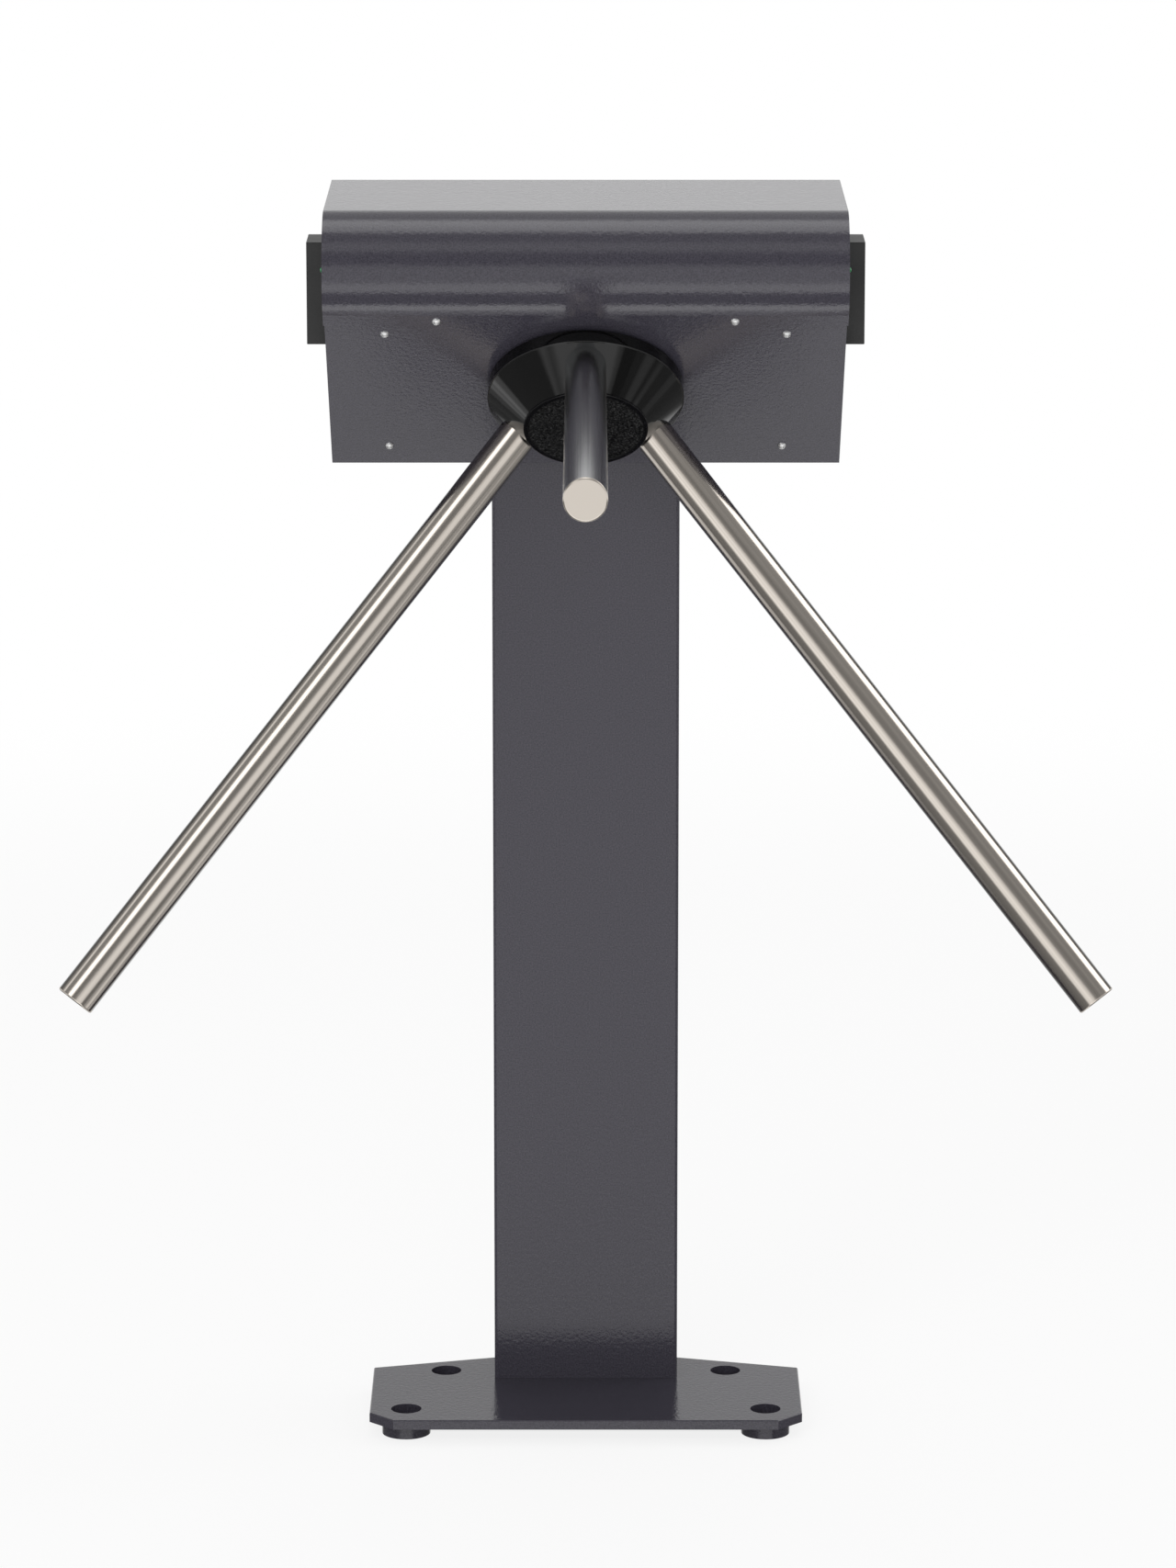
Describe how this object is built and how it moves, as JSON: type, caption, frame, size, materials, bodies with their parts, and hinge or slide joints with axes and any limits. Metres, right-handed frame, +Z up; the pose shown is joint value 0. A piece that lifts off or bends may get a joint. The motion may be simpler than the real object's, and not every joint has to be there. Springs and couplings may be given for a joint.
{
  "type": "tripod turnstile",
  "caption": "Pillar turnstile: floor plate and sheet column carry a sloped head whose tilted hub turns tubular arms through a lockable, damped mechanism.",
  "frame": {"origin": "on the floor, midway between the two rear anchor holes", "axes": "+Z up, +X to the right of a person facing the hub, -Y into the passage"},
  "size_m": [0.8324, 0.7757, 1.0193],
  "materials": {
    "graphite_paint": "fine orange-peel powder coat, satin",
    "black_gloss": "glossy black enamel",
    "black_texture": "granular matte black",
    "stainless_tube": "satin stainless, drawn along the tube",
    "zinc_fastener": "bright zinc",
    "reader_plastic": "fine matte moulding",
    "reader_window": "smoked gloss",
    "green_lamp": "clear green lens",
    "machined_steel": "machined",
    "spring_steel": "blued",
    "plated_sheet": "zinc plated sheet",
    "housing_alloy": "turned",
    "brass_standoff": "turned",
    "grommet_rubber": "matte",
    "damper_plastic": "matte",
    "coil_wrap": "wrapped winding",
    "board_green": "solder mask"
  },
  "bodies": {
    "pedestal": {"base_plate": "graphite_paint", "anchor_feet": "graphite_paint", "column": "graphite_paint", "column_flange": "graphite_paint", "cable_grommet": "grommet_rubber", "head_chassis": "graphite_paint", "flange_bolts": "zinc_fastener", "left_end_plate": "graphite_paint", "right_end_plate": "graphite_paint", "front_panel": "graphite_paint", "top_cover": "graphite_paint", "panel_screws": "zinc_fastener", "cover_screws": "zinc_fastener", "left_reader_case": "reader_plastic", "right_reader_case": "reader_plastic", "left_reader_window": "reader_window", "right_reader_window": "reader_window", "left_status_lamp": "green_lamp", "right_status_lamp": "green_lamp", "mechanism_plate": "plated_sheet", "panel_standoffs": "brass_standoff", "plate_gussets": "plated_sheet", "bearing_housing": "housing_alloy", "housing_bolts": "zinc_fastener", "carrier_plate": "plated_sheet", "carrier_screws": "zinc_fastener", "front_bearing_outer_ring": "machined_steel", "rear_bearing_outer_ring": "machined_steel", "damper_body": "damper_plastic", "detent_spring": "spring_steel", "detent_post": "plated_sheet", "pawl_pins": "machined_steel", "solenoid_coils": "coil_wrap", "solenoid_frames": "plated_sheet", "left_return_spring": "spring_steel", "right_return_spring": "spring_steel", "board_standoffs": "brass_standoff", "control_board": "board_green"},
    "tripod": {"hub": "black_gloss", "hub_cap": "black_texture", "hub_bolt": "zinc_fastener", "front_arm": "stainless_tube", "left_arm": "stainless_tube", "right_arm": "stainless_tube", "arm_root_plugs": "machined_steel", "arm_end_plugs": "stainless_tube", "drive_shaft": "machined_steel", "front_bearing_inner_ring": "machined_steel", "rear_bearing_inner_ring": "machined_steel", "drive_gear": "machined_steel", "index_cam": "machined_steel", "detent_cam": "machined_steel", "shaft_nut": "zinc_fastener"},
    "front_ball_cage": {"front_bearing_balls": "machined_steel"},
    "rear_ball_cage": {"rear_bearing_balls": "machined_steel"},
    "damper_gear": {"damper_pinion": "machined_steel"},
    "left_stop": {"left_pawl": "machined_steel"},
    "right_stop": {"right_pawl": "machined_steel"},
    "left_puller": {"left_plunger": "machined_steel"},
    "right_puller": {"right_plunger": "machined_steel"}
  },
  "joints": [
    {"name": "tripod_turn", "type": "hinge", "parent": "pedestal", "child": "tripod", "pos_m": [0, -0.0757, 0.8997], "axis": [0, -0.7071, -0.7071], "continuous": true, "deforming": ["detent_spring"]},
    {"name": "front_balls_turn", "type": "hinge", "parent": "pedestal", "child": "front_ball_cage", "pos_m": [0, -0.0757, 0.8997], "axis": [0, -0.7071, -0.7071], "continuous": true},
    {"name": "rear_balls_turn", "type": "hinge", "parent": "pedestal", "child": "rear_ball_cage", "pos_m": [0, -0.0757, 0.8997], "axis": [0, -0.7071, -0.7071], "continuous": true},
    {"name": "damper_turn", "type": "hinge", "parent": "pedestal", "child": "damper_gear", "pos_m": [0, -0.00481, 0.89104], "axis": [0, -0.7071, -0.7071], "continuous": true},
    {"name": "left_pawl_swing", "type": "hinge", "parent": "pedestal", "child": "left_stop", "pos_m": [-0.0693, -0.05239, 0.95134], "axis": [0, -0.7071, -0.7071], "range_deg": [0, 10]},
    {"name": "right_pawl_swing", "type": "hinge", "parent": "pedestal", "child": "right_stop", "pos_m": [0.0693, -0.05239, 0.95134], "axis": [0, 0.7071, 0.7071], "range_deg": [0, 10]},
    {"name": "left_plunger_pull", "type": "slide", "parent": "pedestal", "child": "left_puller", "axis": [-1, 0, 0], "range_m": [0, 0.00489], "stiffness_N_per_m": 650, "springref_m": -0.0056, "deforming": ["left_return_spring"]},
    {"name": "right_plunger_pull", "type": "slide", "parent": "pedestal", "child": "right_puller", "axis": [1, 0, 0], "range_m": [0, 0.00489], "stiffness_N_per_m": 650, "springref_m": -0.0056, "deforming": ["right_return_spring"]}
  ],
  "couplings": [
    {"joint": "front_balls_turn", "follows": "tripod_turn", "ratio": 0.39565},
    {"joint": "rear_balls_turn", "follows": "tripod_turn", "ratio": 0.39481},
    {"joint": "damper_turn", "follows": "tripod_turn", "ratio": -4},
    {"joint": "left_pawl_swing", "follows": "left_plunger_pull", "rad_per_m": 35.714},
    {"joint": "right_pawl_swing", "follows": "right_plunger_pull", "rad_per_m": 35.714}
  ]
}
